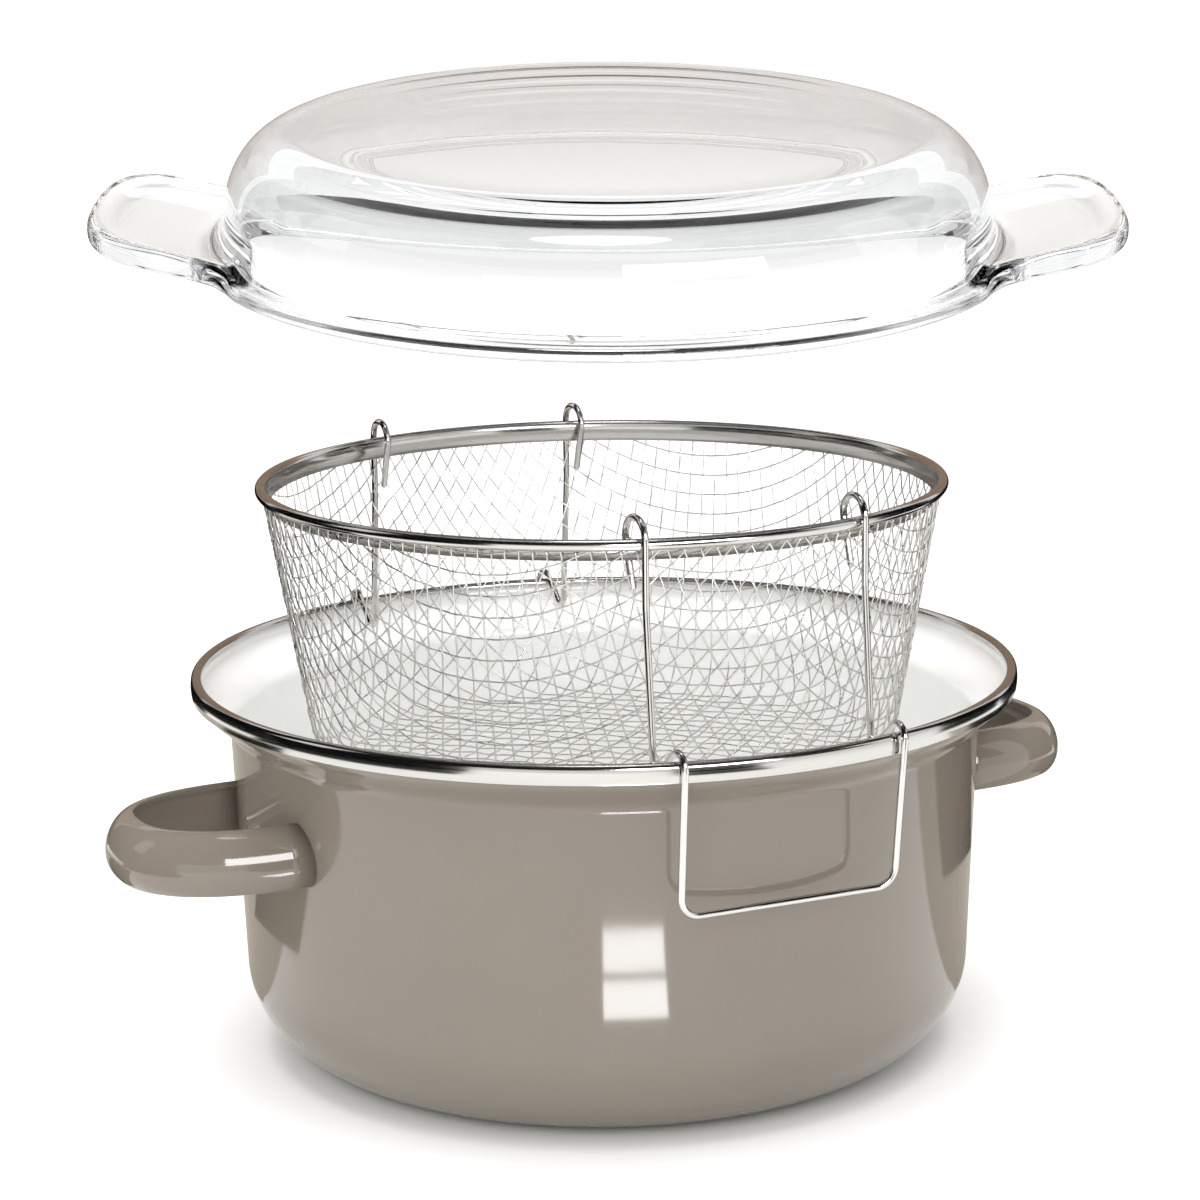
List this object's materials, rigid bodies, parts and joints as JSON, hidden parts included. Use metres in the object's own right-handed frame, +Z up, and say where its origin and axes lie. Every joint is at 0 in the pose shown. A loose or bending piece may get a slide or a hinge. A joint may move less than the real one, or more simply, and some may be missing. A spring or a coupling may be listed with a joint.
{
  "type": "deep fryer pot",
  "caption": "Enamelled steel chip pan with loop handles, a wire mesh frying basket hooked over its rim by bent wire lift handles, and a pressed glass lid with tab handles held above.",
  "frame": {"origin": "middle of the pot's base, on the surface it stands on", "axes": "+X through the right loop handle, +Y towards the rear lift handle, +Z up"},
  "size_m": [0.3266, 0.26, 0.3035],
  "materials": {
    "taupe_enamel": "glossy vitreous enamel on steel, white inside",
    "polished_steel": "polished stainless steel",
    "chromed_wire": "bright plated steel wire",
    "clear_glass": "clear pressed glass"
  },
  "bodies": {
    "pot": {"pot_shell": "taupe_enamel", "rim_ring": "polished_steel", "left_handle": "taupe_enamel", "right_handle": "taupe_enamel"},
    "basket": {"basket_mesh": "chromed_wire", "basket_rim": "polished_steel", "basket_hoop": "chromed_wire"},
    "front_handle": {"front_lift_handle": "chromed_wire"},
    "rear_handle": {"rear_lift_handle": "chromed_wire"},
    "lid": {"glass_lid": "clear_glass"}
  },
  "joints": [
    {"name": "basket_lift", "type": "slide", "parent": "pot", "child": "basket", "axis": [0, 0, 1], "range_m": [0, 0.03]},
    {"name": "front_handle_swing", "type": "hinge", "parent": "basket", "child": "front_handle", "pos_m": [0, -0.10009, 0.1795], "axis": [-1, 0, 0], "range_deg": [0, 7.5]},
    {"name": "rear_handle_swing", "type": "hinge", "parent": "basket", "child": "rear_handle", "pos_m": [0, 0.10009, 0.1795], "axis": [1, 0, 0], "range_deg": [0, 7.5]},
    {"name": "lid_lift", "type": "slide", "parent": "pot", "child": "lid", "axis": [0, 0, 1], "range_m": [0, 0.12]}
  ],
  "couplings": [
    {"joint": "front_handle_swing", "follows": "basket_lift", "rad_per_m": 4.36},
    {"joint": "rear_handle_swing", "follows": "basket_lift", "rad_per_m": 4.36}
  ]
}
